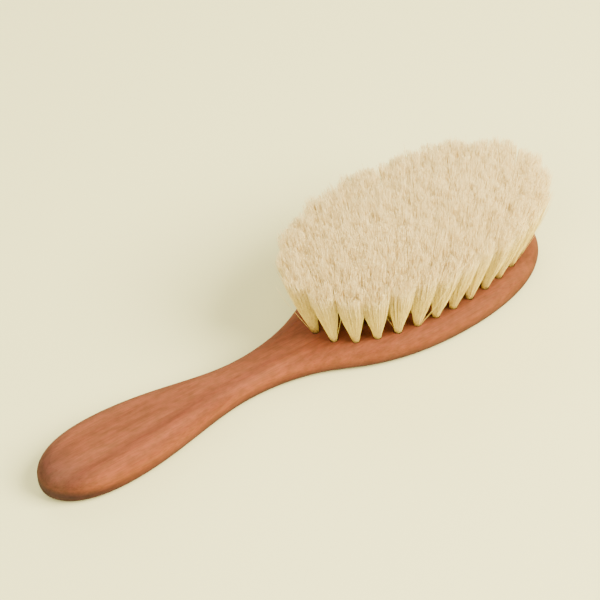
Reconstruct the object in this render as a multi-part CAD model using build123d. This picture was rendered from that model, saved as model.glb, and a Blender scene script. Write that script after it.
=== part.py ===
from build123d import *
import os
from math import copysign, cos, hypot, pi, radians, sin, tan

# A clothes brush of one piece of wood with a long handle, lying on its back with the hair up.
# Millimetres. X runs from the handle end (-X) to the head end (+X), Y runs across, Z is up.
# The flat back of the wood lies on z = 0, under the middle of the whole brush.

# ---------------------------------------------------------------- driving dimensions: the wood
total_length = 220.0
head_length = 108.8
head_width = 54.6
head_exponent = 2.12
grip_width = 29.2
neck_width = 15.4
head_thickness = 10.5
grip_thickness = 12.6
rise_start_x = 4.0
rise_middle_x = -26.0
rise_middle_lift = 0.5
rise_end_x = -64.0
face_edge_radius = 6.2
back_edge_radius = 4.3
planed_off = 0.1

# ---------------------------------------------------------------- driving dimensions: the holes
tuft_pitch = 8.2
ring_inset = 7.1
ring_end_inset = 5.8
ring_shift = -0.8
ring_step = 7.1
centre_row_count = 7
centre_row_pitch = 7.8
hole_diameter = 3.2
hole_depth = 7.0
drill_point_angle = 118.0

# ---------------------------------------------------------------- driving dimensions: the hair
hair_height = 32.5
shank_diameter = 3.1
fan_start = 1.5
middle_diameter = 6.6
tip_diameter = 7.8
centre_tip_diameter = 5.8
tip_ring_half_length = 54.3
tip_ring_half_width = 28.0
tip_ring_shift = -3.1

# ---------------------------------------------------------------- driving dimensions: the anchors
anchor_width = 3.8
anchor_height = 1.8
anchor_thickness = 0.4
anchor_lift = 1.0

# ---------------------------------------------------------------- values that follow from these
handle_end_x = -total_length / 2
head_end_x = total_length / 2
head_centre_x = head_end_x - head_length / 2
ring_centre_x = head_centre_x + ring_shift
ring_half_length = head_length / 2 - ring_end_inset
ring_half_width = head_width / 2 - ring_inset
spread_x = tip_ring_half_length / ring_half_length
spread_y = tip_ring_half_width / ring_half_width
hole_radius = hole_diameter / 2
drill_point_height = hole_radius / tan(radians(drill_point_angle / 2))


def plan_outline():
    """The outline seen from above: a rounded grip, a slim neck and an oval head."""
    grip = grip_width / 2
    neck = neck_width / 2
    head = head_width / 2
    far_side = [
        (handle_end_x + 1.4, 0.34 * grip),
        (handle_end_x + 6, 0.66 * grip),
        (handle_end_x + 13, 0.88 * grip),
        (handle_end_x + 26, grip),
        (handle_end_x + 42, 0.93 * grip),
        (handle_end_x + 59, 0.725 * grip),
        (handle_end_x + 80, neck),
        (handle_end_x + 98, 1.18 * neck),
        (handle_end_x + 112, 0.478 * head),
        (handle_end_x + 125, 0.705 * head),
        (handle_end_x + 142, 0.91 * head),
        (head_centre_x, head),
        (head_centre_x + 20, 0.945 * head),
        (head_centre_x + 36, 0.78 * head),
        (head_centre_x + 47, 0.53 * head),
        (head_centre_x + 52.6, 0.27 * head),
    ]
    near_side = [(x, -y) for x, y in reversed(far_side)]
    loop = [(handle_end_x, 0)] + far_side + [(head_end_x, 0)] + near_side
    return make_face(Spline(loop, periodic=True))


def under_the_face(extra):
    """All the space under the face of the brush, from a side view: a level head, then a slow
    rise along the neck to the thicker grip. The whole face is raised by extra."""
    head = head_thickness + extra
    grip = grip_thickness + extra
    beyond = 0.6 * total_length
    rise = [(rise_start_x, head), (rise_middle_x, head + rise_middle_lift), (rise_end_x, grip)]
    edges = [
        Line((beyond, head), (rise_start_x, head)),
        Spline(rise, tangents=[(-1, 0), (-1, 0)]),
        Line((rise_end_x, grip), (-beyond, grip)),
        Line((-beyond, grip), (-beyond, 0)),
        Line((-beyond, 0), (beyond, 0)),
        Line((beyond, 0), (beyond, head)),
    ]
    profile = Plane.XZ.offset(-head_width) * make_face(edges)
    return extrude(profile, amount=2 * head_width)


def rounded_board():
    """The shaped wood before drilling: rounded all along both edges, then planed on its face,
    which leaves a faint arris where the flat meets the rounding."""
    board = extrude(plan_outline(), amount=2 * grip_thickness) & under_the_face(planed_off)
    half_way_up = head_thickness / 2
    wall = board.faces().sort_by(Axis.Z)[1:].filter_by(lambda f: f.bounding_box().min.Z < 1)[0]
    face_edges = wall.edges().filter_by(lambda e: e.bounding_box().min.Z > half_way_up)
    board = fillet(face_edges, face_edge_radius)
    back_edges = board.faces().sort_by(Axis.Z)[0].edges()
    board = fillet(back_edges, back_edge_radius)
    return board & under_the_face(0)


def ring_point(half_length, half_width, angle):
    """A point of an oval ring on the face of the head."""
    c = cos(angle)
    s = sin(angle)
    x = half_length * copysign(abs(c) ** (2 / head_exponent), c)
    y = half_width * copysign(abs(s) ** (2 / head_exponent), s)
    return ring_centre_x + x, y


def even_ring(inset):
    """Hole centres spaced evenly round a ring that lies inset from the outer ring, starting on
    the centre line at the handle side."""
    steps = 3600
    half_length = ring_half_length - inset
    half_width = ring_half_width - inset
    trace = [ring_point(half_length, half_width, pi + 2 * pi * i / steps) for i in range(steps + 1)]
    run = [0.0]
    for (x0, y0), (x1, y1) in zip(trace, trace[1:]):
        run.append(run[-1] + hypot(x1 - x0, y1 - y0))
    count = round(run[-1] / tuft_pitch)
    chosen = []
    for k in range(count):
        wanted = run[-1] * k / count
        nearest = min(range(steps), key=lambda i: abs(run[i] - wanted))
        chosen.append(trace[nearest])
    return chosen


def centre_row():
    """Hole centres along the centre line, where the innermost ring leaves room for them."""
    first = ring_centre_x - (centre_row_count - 1) / 2 * centre_row_pitch
    return [(first + k * centre_row_pitch, 0) for k in range(centre_row_count)]


def hole_plane(centre):
    """The plane across a hole's mouth: its Z axis leans outward the way the hair splays."""
    x, y = centre
    lean_x = (x - ring_centre_x) * (spread_x - 1) + tip_ring_shift
    lean_y = y * (spread_y - 1)
    across = Vector(-lean_y, lean_x, 0) if hypot(lean_x, lean_y) > 0.01 else Vector(0, 1, 0)
    return Plane(origin=(x, y, head_thickness), x_dir=across, z_dir=(lean_x, lean_y, hair_height))


def drilled_hole(centre):
    """The space that a drill clears: a blind bore with a conical end."""
    mouth_room = 3
    bore = Cylinder(
        hole_radius, hole_depth + mouth_room, align=(Align.CENTER, Align.CENTER, Align.MIN)
    )
    point = Cone(
        0, hole_radius, drill_point_height, align=(Align.CENTER, Align.CENTER, Align.MAX)
    )
    return hole_plane(centre) * Pos(0, 0, -hole_depth) * (bore + point)


def anchor(centre):
    """A flat wire anchor, driven across the foot of a hole and a little into its sides."""
    strip = Box(
        anchor_width, anchor_thickness, anchor_height, align=(Align.CENTER, Align.CENTER, Align.MIN)
    )
    return hole_plane(centre) * Pos(0, 0, anchor_lift - hole_depth) * strip


def tuft(centre, fan_diameter=tip_diameter):
    """A bundle of hair doubled round its anchor: a tight shank in the hole, then a fan that
    widens to the level where all the tips are trimmed."""
    over_length = 1.25 * hair_height
    profile = make_face(
        Polyline(
            (0, -hole_depth),
            (shank_diameter / 2, -hole_depth),
            (shank_diameter / 2, fan_start),
            (min(middle_diameter, fan_diameter) / 2, hair_height / 2),
            (fan_diameter / 2, hair_height),
            (fan_diameter / 2, over_length),
            (0, over_length),
            close=True,
        )
    )
    bundle = hole_plane(centre) * revolve(Plane.XZ * profile, Axis.Z)
    trim_room = Pos(head_centre_x, 0, 0) * Box(
        3 * head_length, 3 * head_width, 2 * (head_thickness + hair_height)
    )
    return (bundle & trim_room) - anchor(centre)


def write(name, solids):
    """One STEP file for one node, moved so that the origin lies under the brush's middle."""
    node = Compound(children=[solid.moved(Location((-middle_x, 0, 0))) for solid in solids])
    node.label = name
    export_step(node if len(solids) > 1 else node.solids()[0], f"parts/{name}.step")


rings = {
    "outer": even_ring(0),
    "second": even_ring(ring_step),
    "third": even_ring(2 * ring_step),
    "centre": centre_row(),
}
hole_centres = [centre for ring in rings.values() for centre in ring]
tufts = {name: [tuft(centre) for centre in ring] for name, ring in rings.items()}
tufts["centre"] = [tuft(centre, centre_tip_diameter) for centre in rings["centre"]]
anchors = {name: [anchor(centre) for centre in ring] for name, ring in rings.items()}

wooden_body = rounded_board()
for centre in hole_centres:
    wooden_body -= drilled_hole(centre)
for ring in anchors.values():
    for strip in ring:
        wooden_body -= strip

rightmost = max(solid.bounding_box().max.X for solid in tufts["outer"])
middle_x = (handle_end_x + max(head_end_x, rightmost)) / 2

os.makedirs("parts", exist_ok=True)
write("wooden_body", [wooden_body.solid()])
for number, solid in enumerate(tufts["outer"], 1):
    write(f"outer_tuft_{number:02d}", [solid])
for number, solid in enumerate(tufts["second"], 1):
    write(f"second_row_tuft_{number:02d}", [solid])
write("third_row_tufts", tufts["third"])
write("centre_row_tufts", tufts["centre"])
for name, strips in anchors.items():
    write(f"{name}_row_anchors", strips)
print({name: len(ring) for name, ring in rings.items()}, "middle_x", round(middle_x, 3))
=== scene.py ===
import math

import bpy
import numpy as np
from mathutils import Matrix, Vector


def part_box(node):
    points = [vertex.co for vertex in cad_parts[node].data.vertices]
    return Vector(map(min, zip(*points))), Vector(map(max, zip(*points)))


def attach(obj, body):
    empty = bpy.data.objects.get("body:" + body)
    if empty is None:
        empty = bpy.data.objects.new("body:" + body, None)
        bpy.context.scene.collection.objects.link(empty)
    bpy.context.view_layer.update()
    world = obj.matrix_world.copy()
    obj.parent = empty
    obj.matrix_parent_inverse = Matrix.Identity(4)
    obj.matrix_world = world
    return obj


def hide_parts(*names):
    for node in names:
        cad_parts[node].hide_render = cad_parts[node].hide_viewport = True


# The looks of the clothes brush: oiled pearwood, and tufts of pale goat hair as real strands.
# Metres, in the CAD frame: X towards the head end, Z up towards the hair tips.

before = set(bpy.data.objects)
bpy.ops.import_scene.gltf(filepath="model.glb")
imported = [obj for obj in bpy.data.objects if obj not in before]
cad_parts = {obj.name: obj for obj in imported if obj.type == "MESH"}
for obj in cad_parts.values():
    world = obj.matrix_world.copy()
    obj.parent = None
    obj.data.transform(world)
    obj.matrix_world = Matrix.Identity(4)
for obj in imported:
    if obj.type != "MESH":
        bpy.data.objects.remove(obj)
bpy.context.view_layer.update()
MM = 0.001
FULL_TURN = 2 * math.pi
WHITE = (1.0, 1.0, 1.0)
RANDOM_SEED = 7

# ------------------------------------------------------------------ reading the CAD tufts
WELD_MM = 0.001
TIP_SLICE = 0.05 * MM
FOOT_SLICE = 1.1 * MM

# ------------------------------------------------------------------ the hair's own dimensions
# For each row: hairs in a tuft, rings of corners along a hair, and how wide the tips fan out.
ROW_MAKEUP = {
    "outer_row": (800, 6, 5.4 * MM),
    "second_row": (820, 5, 6.6 * MM),
    "third_row": (820, 5, 6.6 * MM),
    "centre_row": (820, 5, 6.2 * MM),
}
TUFTS_PER_PIECE = 6

# One hair. The taper gives its thickness at places from its foot (0) to its tip (1).
HAIR_SIDES = 3
HAIR_RADIUS = 0.07 * MM
HAIR_THICKNESS_SPREAD = 0.25
HAIR_TAPER = ((0.0, 1.0), (0.6, 0.95), (1.0, 0.65))

# How a tuft opens above its hole.
ROOT_DEPTH = 2.5 * MM
FOOT_RADIUS = 1.0 * MM
FAN_CURVE = 1.45
FAN_DEPTH = 0.9
FAN_SPREAD = 0.07
TUFT_LEAN = 0.6 * MM
NEARLY_UPRIGHT = 1e-3

# How hairs gather into wisps, and wisps into locks.
HAIR_JITTER = 0.05
LOCK_JITTER = 0.09
WISPS_PER_TUFT = 55
WISP_PULL = 0.3
PULL_POWER = 2
LOCKS_PER_TUFT = 7
LOCK_PULL = 0.3

# How much higher or lower than the trim the hairs end.
TIP_LIFT = 0.4 * MM
TIP_RISE = 0.35 * MM
WISP_RISE = 0.5 * MM
LOCK_RISE = 0.5 * MM
SHORT_SHARE = 0.4
SHORT_DROP = 8.5 * MM

# How hairs wave and bend. A bend with a lower power starts lower down.
WAVE = 0.25 * MM
LEAST_WAVES = 0.7
MOST_WAVES = 1.6
BEND = 0.4 * MM
BEND_POWER = 2.0
STRAY_SHARE = 0.008
STRAY_BEND = 3.0 * MM
STRAY_BEND_POWER = 0.8

# ------------------------------------------------------------------ the wood's painted shade and light
# A streak of painted shade runs along the edge of the handle's top face, from the handle's end to a
# place where it starts to fade. It tilts across the handle and wanders a little. The wood's tint
# changes over a blend on either side of its middle: painted light, warmer on the lit near side.
STREAK_SLOPE = 0.08
STREAK_OFFSET = -1.2 * MM
STREAK_HALF_WIDTH = 3.8 * MM
STREAK_WANDER = 1.4 * MM
STREAK_FADE_START_X = -20 * MM
STREAK_FADE_LENGTH = 30 * MM
PAINTED_TINT_BLEND = 4.0 * MM

# Painted shade: the lower edge is darker all round, and higher up the wood at the handle's end.
PAINTED_EDGE_SHADE = (0.27, 0.34, 0.64)
EDGE_HEIGHT = 8 * MM
HANDLE_END_LENGTH = 26 * MM
HANDLE_END_SHARE = 0.5

# ------------------------------------------------------------------ the view and the light
CAMERA_AZIMUTH = -36.2
CAMERA_ELEVATION = 45.3
CAMERA_DISTANCE = 0.665
CAMERA_LENS = 104.8
AIM_FROM_WOOD_CENTRE = Vector((17.1, 24.4, 0)) * MM
FLOOR_HALF_SIZE = 3.0
WORLD_COLOUR = (1.0, 0.97, 0.9)
WORLD_STRENGTH = 0.65


# ---------------------------------------------------------------------------------- materials
class Nodes:
    """A new node material, and short ways to add nodes to it. A value is a (node, output) pair."""

    def __init__(self, name):
        self.material = bpy.data.materials.new(name)
        self.material.use_nodes = True
        self.tree = self.material.node_tree
        self.shader = self.tree.nodes["Principled BSDF"]

    def add(self, kind, **settings):
        """A new node, with its settings and inputs given by name."""
        node = self.tree.nodes.new(kind)
        for key, value in settings.items():
            if hasattr(node, key):
                setattr(node, key, value)
            else:
                node.inputs[key.replace("_", " ")].default_value = value
        return node

    def link(self, value, target, socket):
        """Feeds a value to a node's input."""
        source, output = value
        self.tree.links.new(source.outputs[output], target.inputs[socket])

    def surface(self, **settings):
        """Sets inputs of the shader itself, given by name."""
        for key, value in settings.items():
            self.shader.inputs[key.replace("_", " ")].default_value = value

    def place(self):
        """Each point's place on the object."""
        return self.add("ShaderNodeTexCoord"), "Object"

    def split_place(self):
        """A node whose outputs X, Y and Z are each point's place."""
        split = self.add("ShaderNodeSeparateXYZ")
        self.link(self.place(), split, "Vector")
        return split

    def rescale(self, value, **settings):
        """A value moved from one range to another, each from 0 to 1 unless settings differ."""
        scaled = self.add("ShaderNodeMapRange", **settings)
        self.link(value, scaled, "Value")
        return scaled, "Result"

    def between(self, axis, low, high):
        """How far a place is from low to high along an axis, from 0 to 1."""
        return self.rescale((self.split_place(), axis), From_Min=low, From_Max=high)

    def calculate(self, operation, *terms):
        """The result of one operation on terms that are numbers or values."""
        node = self.add("ShaderNodeMath", operation=operation)
        for number, term in enumerate(terms):
            if isinstance(term, tuple):
                self.link(term, node, number)
            else:
                node.inputs[number].default_value = term
        return node, "Value"

    def noise(self, scale, size, detail=4.0, distortion=0.0):
        """Smooth noise, where a larger scale along an axis makes it finer that way."""
        mapping = self.add("ShaderNodeMapping")
        mapping.inputs["Scale"].default_value = scale
        self.link(self.place(), mapping, "Vector")
        noise = self.add("ShaderNodeTexNoise", Scale=size, Detail=detail, Distortion=distortion)
        self.link((mapping, "Vector"), noise, "Vector")
        return noise, "Fac"

    def ramp(self, value, *stops, interpolation="LINEAR"):
        """Colours for a value, from stops that are each a position and a colour."""
        ramp = self.add("ShaderNodeValToRGB")
        elements = ramp.color_ramp.elements
        while len(elements) < len(stops):
            elements.new(0.5)
        for element, (position, colour) in zip(elements, stops):
            element.position = position
            element.color = (*colour, 1)
        ramp.color_ramp.interpolation = interpolation
        self.link(value, ramp, "Fac")
        return ramp, "Color"

    def multiply(self, factor, first, second):
        """The first colour, multiplied by the second as strongly as factor says."""
        mix = self.add("ShaderNodeMix", data_type="RGBA", blend_type="MULTIPLY")
        mix.inputs["Factor"].default_value = factor
        self.link(first, mix, "A")
        self.link(second, mix, "B")
        return mix, "Result"


def wood_figure(n, fine):
    """The wood's own colour: broad bands, fine lines, soft blotches and tiny pores."""
    broad = n.noise((5, 70, 70), 3.0, detail=3.0, distortion=0.5)
    body = n.ramp(
        broad,
        (0.3, (0.185, 0.053, 0.02)),
        (0.5, (0.226, 0.068, 0.0262)),
        (0.72, (0.262, 0.082, 0.0325)),
    )
    lines = n.ramp(fine, (0.3, (0.74, 0.66, 0.6)), (0.55, WHITE))
    grain = n.multiply(0.7, body, lines)
    mottle = n.noise((150, 300, 300), 2.0, detail=3.0)
    blotches = n.ramp(mottle, (0.35, (0.86, 0.91, 0.82)), (0.65, (1.1, 1.04, 1.06)))
    mottled = n.multiply(1.0, grain, blotches)
    flecks = n.noise((90, 1500, 1500), 3.0, detail=2.0)
    pores = n.ramp(flecks, (0.26, (0.45, 0.32, 0.25)), (0.36, WHITE))
    return n.multiply(0.35, mottled, pores)


def painted_streak_and_side(n):
    """How far a place is from the middle of the dark streak, from 0 to 1, and how far it is across
    it, from the near side (0) to the far side (1). The streak is painted shade along the edge where
    the handle's top face turns into its rounded near side."""
    split = n.split_place()
    wander = n.noise((25, 25, 25), 1.0, detail=2.0)
    drift = n.calculate("MULTIPLY", wander, STREAK_WANDER)
    start = STREAK_OFFSET - STREAK_WANDER / 2
    line = n.calculate("MULTIPLY_ADD", (split, "X"), STREAK_SLOPE, start)
    middle_line = n.calculate("ADD", line, drift)
    offset = n.calculate("SUBTRACT", (split, "Y"), middle_line)
    distance = n.calculate("ABSOLUTE", offset)
    fade = n.rescale(
        (split, "X"),
        From_Min=STREAK_FADE_START_X,
        From_Max=STREAK_FADE_START_X + STREAK_FADE_LENGTH,
        To_Max=STREAK_HALF_WIDTH,
    )
    total = n.calculate("ADD", distance, fade)
    away = n.rescale(total, From_Max=STREAK_HALF_WIDTH, interpolation_type="SMOOTHSTEP")
    halves = n.rescale(offset, From_Min=-PAINTED_TINT_BLEND, From_Max=PAINTED_TINT_BLEND)
    return away, halves


def add_painted_streak(n, colour):
    """A colour with the dark streak of painted shade in it, and a slightly different tint on each
    side of it: a painted light that makes the lit near side warmer.
    """
    away, halves = painted_streak_and_side(n)
    # painted shade along the edge of the handle's top face
    streak = n.ramp(away, (0.0, (0.78, 0.75, 0.78)), (1.0, WHITE))
    streaked = n.multiply(1.0, colour, streak)
    # painted light: a warmer tint on the lit near side, a cooler one on the top face
    painted_side_tint = n.ramp(halves, (0.0, (1.02, 0.96, 0.9)), (1.0, (0.97, 1.0, 0.98)))
    return n.multiply(1.0, streaked, painted_side_tint)


def paint_shade_along(n, colour, handle_end, head_end):
    """A colour that changes slowly from the handle's end to the head's end: a little cooler at the
    handle's very end, and darker towards the head's end, which is painted shade.
    """
    along = n.between("X", handle_end, head_end)
    # painted shade towards the head's end
    shade = n.ramp(
        along,
        (0.0, (0.88, 0.98, 1.1)),
        (0.075, WHITE),
        (0.5, WHITE),
        (0.72, (0.82, 0.86, 0.82)),
        (1.0, (0.73, 0.82, 0.7)),
    )
    return n.multiply(1.0, colour, shade)


def paint_lower_edge_shade(n, colour, handle_end):
    """A colour with painted shade that darkens towards the back of the wood, most of all at the
    handle's end.
    """
    height = n.between("Z", 0.0, EDGE_HEIGHT)
    end = n.between("X", handle_end + HANDLE_END_LENGTH, handle_end)
    drop = n.calculate("MULTIPLY", end, HANDLE_END_SHARE)
    lightness = n.calculate("SUBTRACT", height, drop)
    # painted shade at the lower edge and at the handle's end
    edge = n.ramp(
        lightness, (0.0, PAINTED_EDGE_SHADE), (0.2, PAINTED_EDGE_SHADE), (0.92, WHITE), interpolation="EASE"
    )
    return n.multiply(1.0, colour, edge)


def pearwood():
    """Oiled pearwood with a matt skin: fine long grain and tiny pores, with painted shade in a
    darker streak along the handle and in a darker lower edge and ends, and a painted warmer tint on
    the lit near side of the handle."""
    low_corner, high_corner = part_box("wooden_body")
    n = Nodes("pearwood")
    fine = n.noise((18, 520, 520), 5.0, detail=6.0, distortion=0.3)
    figure = wood_figure(n, fine)
    streaked = add_painted_streak(n, figure)
    shaded = paint_shade_along(n, streaked, low_corner.x, high_corner.x)
    colour = paint_lower_edge_shade(n, shaded, low_corner.x)
    n.link(colour, n.shader, "Base Color")
    n.link(n.rescale(fine, To_Min=0.6, To_Max=0.74), n.shader, "Roughness")
    bump = n.add("ShaderNodeBump", Strength=0.12, Distance=0.2 * MM)
    n.link(fine, bump, "Height")
    n.link((bump, "Normal"), n.shader, "Normal")
    n.surface(Specular_IOR_Level=0.08)
    return n.material


def goat_hair(face_height, tip_height):
    """Pale goat hair: a warm root, a paler tip, and a small difference from lock to lock and
    from hair to hair."""
    n = Nodes("goat_hair")
    height = n.between("Z", face_height, tip_height)
    along = n.ramp(
        height,
        (0.0, (0.95, 0.72, 0.185)),
        (0.45, (0.99, 0.77, 0.2)),
        (1.0, (0.995, 0.79, 0.32)),
    )
    lock = n.noise((1, 1, 0.25), 700.0, detail=2.0)
    lock_tone = n.ramp(lock, (0.3, (0.82, 0.75, 0.6)), (0.5, WHITE), (1.0, WHITE))
    locks = n.multiply(0.6, along, lock_tone)
    single = n.noise((1, 1, 0.08), 3000.0, detail=1.0)
    single_tone = n.ramp(single, (0.36, (0.6, 0.5, 0.36)), (0.5, WHITE), (1.0, WHITE))
    colour = n.multiply(0.5, locks, single_tone)
    n.link(colour, n.shader, "Base Color")
    n.surface(Roughness=0.6, Specular_IOR_Level=0.25)
    return n.material


def anchor_wire():
    """Flat brass wire, with fine drawn lines in its colour."""
    n = Nodes("anchor_wire")
    lines = n.noise((300, 300, 3000), 2.0, detail=2.0)
    tone = n.ramp(lines, (0.3, (0.4, 0.24, 0.06)), (0.7, (0.68, 0.46, 0.14)))
    n.link(tone, n.shader, "Base Color")
    n.surface(Metallic=1.0, Roughness=0.35)
    return n.material


def pale_floor():
    """A matt cream floor with a trace of tone in it."""
    n = Nodes("pale_floor")
    cloud = n.noise((1, 1, 1), 3.0, detail=1.0)
    tone = n.ramp(cloud, (0.0, (0.975, 0.915, 0.4)), (1.0, (0.98, 0.92, 0.405)))
    n.link(tone, n.shader, "Base Color")
    n.surface(Roughness=0.9, Specular_IOR_Level=0.1)
    return n.material


# ------------------------------------------------------------------- where the CAD tufts stand
def loose_parts(node):
    """The vertex places of each separate solid in a CAD node, as a list of arrays."""
    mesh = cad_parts[node].data
    places = np.array([v.co for v in mesh.vertices]).reshape(-1, 3)
    keys = [tuple(row) for row in np.round(places / (WELD_MM * MM)).astype(int)]
    leader = {key: key for key in keys}

    def find(key):
        while leader[key] != key:
            leader[key] = leader[leader[key]]
            key = leader[key]
        return key

    for polygon in mesh.polygons:
        first = find(keys[polygon.vertices[0]])
        for index in polygon.vertices[1:]:
            leader[find(keys[index])] = first
    groups = {}
    for key in leader:
        groups.setdefault(find(key), []).append(key)
    return [np.array(group) * WELD_MM * MM for group in groups.values()]


def middle(places):
    """The middle of the box round some places."""
    return (places.min(0) + places.max(0)) / 2


def tuft_axes(tuft_nodes, anchor_node):
    """For each tuft: its CAD node, the middle of its anchor and the middle of its trimmed tip."""
    anchors = [middle(part) for part in loose_parts(anchor_node)]
    axes = []
    for node in tuft_nodes:
        for part in loose_parts(node):
            tip = middle(part[part[:, 2] > part[:, 2].max() - TIP_SLICE])
            foot = middle(part[part[:, 2] < part[:, 2].min() + FOOT_SLICE])
            anchor = min(anchors, key=lambda a: np.linalg.norm(a - foot))
            axes.append((node, anchor, tip))
    return axes


def head_face_height(axes):
    """The height of the wood's level face, read where the hair stands in it."""
    start = min(anchor[0] for _, anchor, _ in axes)
    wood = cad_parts["wooden_body"].data
    return max(v.co.z for v in wood.vertices if v.co.x > start)


# ------------------------------------------------------------------------------------ the hair
def sunflower(count, turn):
    """Points spread evenly over a disc of radius 1, each a golden angle on from the last."""
    k = np.arange(count) + 0.5
    angle = k * math.pi * (3 - math.sqrt(5)) + turn
    radius = np.sqrt(k / count)
    return np.stack([radius * np.cos(angle), radius * np.sin(angle)], 1)


def uneven_disc(random, count, jitter):
    """Points over a disc of radius 1, each a little out of its even place."""
    disc = sunflower(count, random.uniform(0, FULL_TURN))
    return disc + random.normal(0, jitter, disc.shape)


def nearest(spots, centres):
    """The number of the centre that is nearest to each spot."""
    return np.argmin(((spots[:, None] - centres[None]) ** 2).sum(-1), 1)


def across_axis(axis):
    """Two directions square to an axis and to each other."""
    across = np.cross([0.0, 0.0, 1.0], axis)
    if np.linalg.norm(across) < NEARLY_UPRIGHT:
        across = np.array([0.0, 1.0, 0.0])
    across = across / np.linalg.norm(across)
    return across, np.cross(across, axis)


def gather(random, count):
    """For each hair of a tuft: its place on a disc of radius 1, the place that its wisp draws it
    to, and how much higher than the trim it ends."""
    spots = uneven_disc(random, count, HAIR_JITTER)
    wisps = uneven_disc(random, WISPS_PER_TUFT, HAIR_JITTER)
    locks = uneven_disc(random, LOCKS_PER_TUFT, LOCK_JITTER)
    wisp = nearest(spots, wisps)
    lock = nearest(wisps, locks)
    drawn = wisps * (1 - LOCK_PULL) + locks[lock] * LOCK_PULL
    lock_rise = random.normal(0, LOCK_RISE, LOCKS_PER_TUFT)
    wisp_rise = random.normal(0, WISP_RISE, WISPS_PER_TUFT) + lock_rise[lock]
    rise = TIP_LIFT + wisp_rise[wisp] + random.normal(0, TIP_RISE, count)
    short = random.random(count) < SHORT_SHARE
    rise -= short * random.uniform(0, SHORT_DROP, count)
    return spots, drawn[wisp], rise


def sway(random, up):
    """How far each hair bends, and how far it waves, where it is a share up of the way to the
    tips. A few stray hairs bend further, and from lower down."""
    count = len(up)
    stray = random.random(count) < STRAY_SHARE
    bend = random.normal(0, 1, (count, 2)) * np.where(stray, STRAY_BEND, BEND)[:, None]
    power = np.where(stray, STRAY_BEND_POWER, BEND_POWER)[:, None]
    way = random.uniform(0, FULL_TURN, count)
    waves = random.uniform(LEAST_WAVES, MOST_WAVES, count)[:, None]
    start = random.uniform(0, FULL_TURN, count)[:, None]
    bent = bend[:, None] * (up**power)[..., None]
    wave = WAVE * up * np.sin(FULL_TURN * waves * up + start)
    waved = wave[..., None] * np.stack([np.cos(way), np.sin(way)], 1)[:, None]
    return bent, waved


def strand_paths(random, anchor, tip, face_height, makeup):
    """The centre lines of one tuft's hairs, from inside the hole to the trimmed tips."""
    count, rings, fan_radius = makeup
    fan_radius *= random.uniform(1 - FAN_SPREAD, 1 + FAN_SPREAD)
    lean = random.normal(0, TUFT_LEAN, 2)
    spots, drawn, rise = gather(random, count)
    axis = (tip - anchor) / np.linalg.norm(tip - anchor)
    mouth = anchor + axis * (face_height - anchor[2]) / axis[2]
    reach = np.linalg.norm(tip - mouth)
    share = np.linspace(0, 1, rings)[None, :]
    height = -ROOT_DEPTH + (reach + ROOT_DEPTH + rise[:, None]) * share
    up = np.clip(height / reach, 0, None)
    opened = 1 - np.clip(1 - up, 0, None) ** FAN_CURVE
    width = FOOT_RADIUS + (fan_radius - FOOT_RADIUS) * opened
    pull = WISP_PULL * up[..., None] ** PULL_POWER
    spot = spots[:, None] * (1 - pull) + drawn[:, None] * pull
    spot = spot * width[..., None] * [1.0, FAN_DEPTH] + up[..., None] * lean
    bent, waved = sway(random, up)
    spot = spot + bent + waved
    across, forward = across_axis(axis)
    lines = mouth + axis * height[..., None]
    return lines + across * spot[..., :1] + forward * spot[..., 1:]


def tube_corners(random, paths):
    """The corners of a thin tapered tube round each path, ring by ring."""
    count, rings, _ = paths.shape
    along = np.gradient(paths, axis=1)
    along /= np.linalg.norm(along, axis=2, keepdims=True)
    side = np.cross(along, [0.0, 1.0, 0.0])
    side /= np.linalg.norm(side, axis=2, keepdims=True)
    other = np.cross(along, side)
    taper = np.interp(np.linspace(0, 1, rings), *zip(*HAIR_TAPER))
    least = 1 - HAIR_THICKNESS_SPREAD
    most = 1 + HAIR_THICKNESS_SPREAD
    radius = HAIR_RADIUS * taper[None, :, None] * random.uniform(least, most, (count, 1, 1))
    corners = []
    for k in range(HAIR_SIDES):
        angle = FULL_TURN * k / HAIR_SIDES
        corners.append(paths + radius * (math.cos(angle) * side + math.sin(angle) * other))
    return np.stack(corners, 2).reshape(-1, 3)


def tube_faces(count, rings):
    """The walls and the closing ends of that many tubes, as the numbers of their corners."""
    walls = []
    for ring in range(rings - 1):
        for k in range(HAIR_SIDES):
            low = ring * HAIR_SIDES + k
            low_next = ring * HAIR_SIDES + (k + 1) % HAIR_SIDES
            walls.append([low, low_next, low_next + HAIR_SIDES, low + HAIR_SIDES])
    foot = list(range(HAIR_SIDES))
    tip = [(rings - 1) * HAIR_SIDES + k for k in foot]
    ends = [foot[::-1], tip]
    start = (np.arange(count) * rings * HAIR_SIDES)[:, None, None]
    walls = (start + np.array(walls)).reshape(-1, 4)
    ends = (start + np.array(ends)).reshape(-1, HAIR_SIDES)
    return walls, ends


def hair_piece(name, tufts, makeup, material, random, face_height):
    """One visible piece: the hair of a few neighbouring tufts, in place of their CAD nodes."""
    corners = []
    faces = []
    base = 0
    for _, anchor, tip in tufts:
        paths = strand_paths(random, anchor, tip, face_height, makeup)
        points = tube_corners(random, paths)
        walls, ends = tube_faces(*paths.shape[:2])
        corners.append(points)
        faces += (walls + base).tolist() + (ends + base).tolist()
        base += len(points)
    mesh = bpy.data.meshes.new(name)
    mesh.from_pydata(np.concatenate(corners).tolist(), [], faces)
    mesh.polygons.foreach_set("use_smooth", [True] * len(mesh.polygons))
    mesh.update()
    piece = bpy.data.objects.new(name, mesh)
    bpy.context.scene.collection.objects.link(piece)
    mesh.materials.append(material)
    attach(piece, "root")
    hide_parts(*sorted({node for node, _, _ in tufts}))


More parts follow.
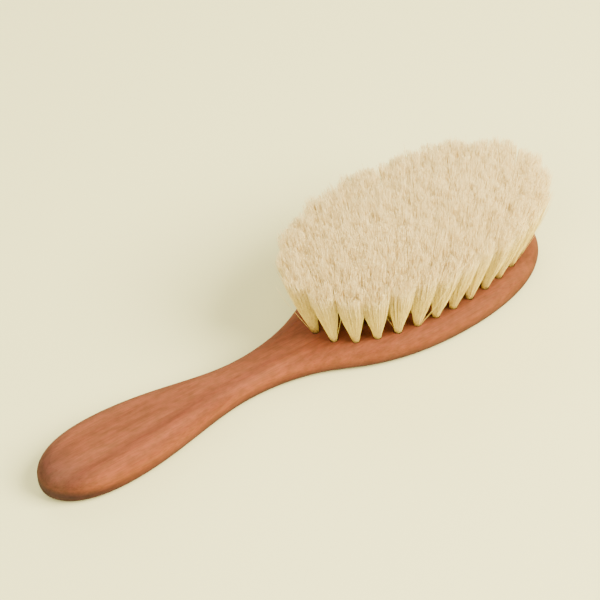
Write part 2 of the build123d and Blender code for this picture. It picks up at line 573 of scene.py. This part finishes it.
def make_hair():
    """All the tufts, row by row, a few neighbours to a piece."""
    nodes = sorted(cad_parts)
    rows = {
        "outer_row": [n for n in nodes if n.startswith("outer_tuft_")],
        "second_row": [n for n in nodes if n.startswith("second_row_tuft_")],
        "third_row": ["third_row_tufts"],
        "centre_row": ["centre_row_tufts"],
    }
    axes = {row: tuft_axes(tufts, f"{row}_anchors") for row, tufts in rows.items()}
    _, _, first_tip = axes["outer_row"][0]
    face_height = head_face_height(axes["outer_row"])
    material = goat_hair(face_height, first_tip[2])
    random = np.random.default_rng(RANDOM_SEED)
    for row, tufts in axes.items():
        for first in range(0, len(tufts), TUFTS_PER_PIECE):
            name = f"{row}_hair_{first // TUFTS_PER_PIECE + 1}"
            few = tufts[first:first + TUFTS_PER_PIECE]
            hair_piece(name, few, ROW_MAKEUP[row], material, random, face_height)


# -------------------------------------------------------------------- the wood and the anchors
def paint(node, material):
    """A better material on a CAD node that stays as it is."""
    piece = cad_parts[node]
    for holder in piece.material_slots:
        holder.material = material


def paint_cad_nodes():
    """Wood on the body, and brass on every row's anchors."""
    paint("wooden_body", pearwood())
    brass = anchor_wire()
    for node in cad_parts:
        if node.endswith("_anchors"):
            paint(node, brass)


# --------------------------------------------------------------------------- stage and camera
def direction(azimuth, elevation):
    """From the brush towards a camera or a lamp: azimuth 0 is on the -Y side, 90 on the +X side."""
    a = math.radians(azimuth)
    e = math.radians(elevation)
    return Vector((math.sin(a) * math.cos(e), -math.cos(a) * math.cos(e), math.sin(e)))


def make_camera():
    """A camera above the near side of the handle's end, looking down at the brush."""
    low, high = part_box("wooden_body")
    aim = Vector(((low.x + high.x) / 2, 0, 0)) + AIM_FROM_WOOD_CENTRE
    back = direction(CAMERA_AZIMUTH, CAMERA_ELEVATION)
    camera = bpy.data.objects.new("camera", bpy.data.cameras.new("camera"))
    camera.data.lens = CAMERA_LENS
    camera.location = aim + back * CAMERA_DISTANCE
    camera.rotation_mode = "QUATERNION"
    camera.rotation_quaternion = (-back).to_track_quat("-Z", "Y")
    bpy.context.scene.collection.objects.link(camera)
    bpy.context.scene.camera = camera


def lamp(name, azimuth, elevation, distance, size, power, colour):
    """A soft square lamp that faces the middle of the brush."""
    away = direction(azimuth, elevation)
    data = bpy.data.lights.new(name, "AREA")
    data.size = size
    data.energy = power
    data.color = colour
    light = bpy.data.objects.new(name, data)
    light.location = away * distance
    light.rotation_mode = "QUATERNION"
    light.rotation_quaternion = away.to_track_quat("Z", "Y")
    bpy.context.scene.collection.objects.link(light)


def make_floor():
    """A wide flat floor that the back of the wood lies on."""
    edge = FLOOR_HALF_SIZE
    mesh = bpy.data.meshes.new("floor")
    corners = [(-edge, -edge, 0), (edge, -edge, 0), (edge, edge, 0), (-edge, edge, 0)]
    mesh.from_pydata(corners, [], [(0, 1, 2, 3)])
    floor = bpy.data.objects.new("floor", mesh)
    mesh.materials.append(pale_floor())
    bpy.context.scene.collection.objects.link(floor)


def make_light():
    """Three soft lamps in a pale room."""
    warm = (1.0, 0.96, 0.9)
    pale = (1.0, 0.98, 0.95)
    lamp("key", azimuth=38, elevation=43, distance=1.2, size=0.8, power=48, colour=warm)
    lamp("fill", azimuth=-60, elevation=50, distance=1.4, size=1.0, power=17, colour=pale)
    lamp("back", azimuth=170, elevation=35, distance=1.5, size=1.2, power=12, colour=pale)
    world = bpy.data.worlds.new("soft_room")
    world.use_nodes = True
    background = world.node_tree.nodes["Background"]
    background.inputs["Color"].default_value = (*WORLD_COLOUR, 1)
    background.inputs["Strength"].default_value = WORLD_STRENGTH
    bpy.context.scene.world = world


make_camera()
make_hair()
paint_cad_nodes()
make_floor()
make_light()
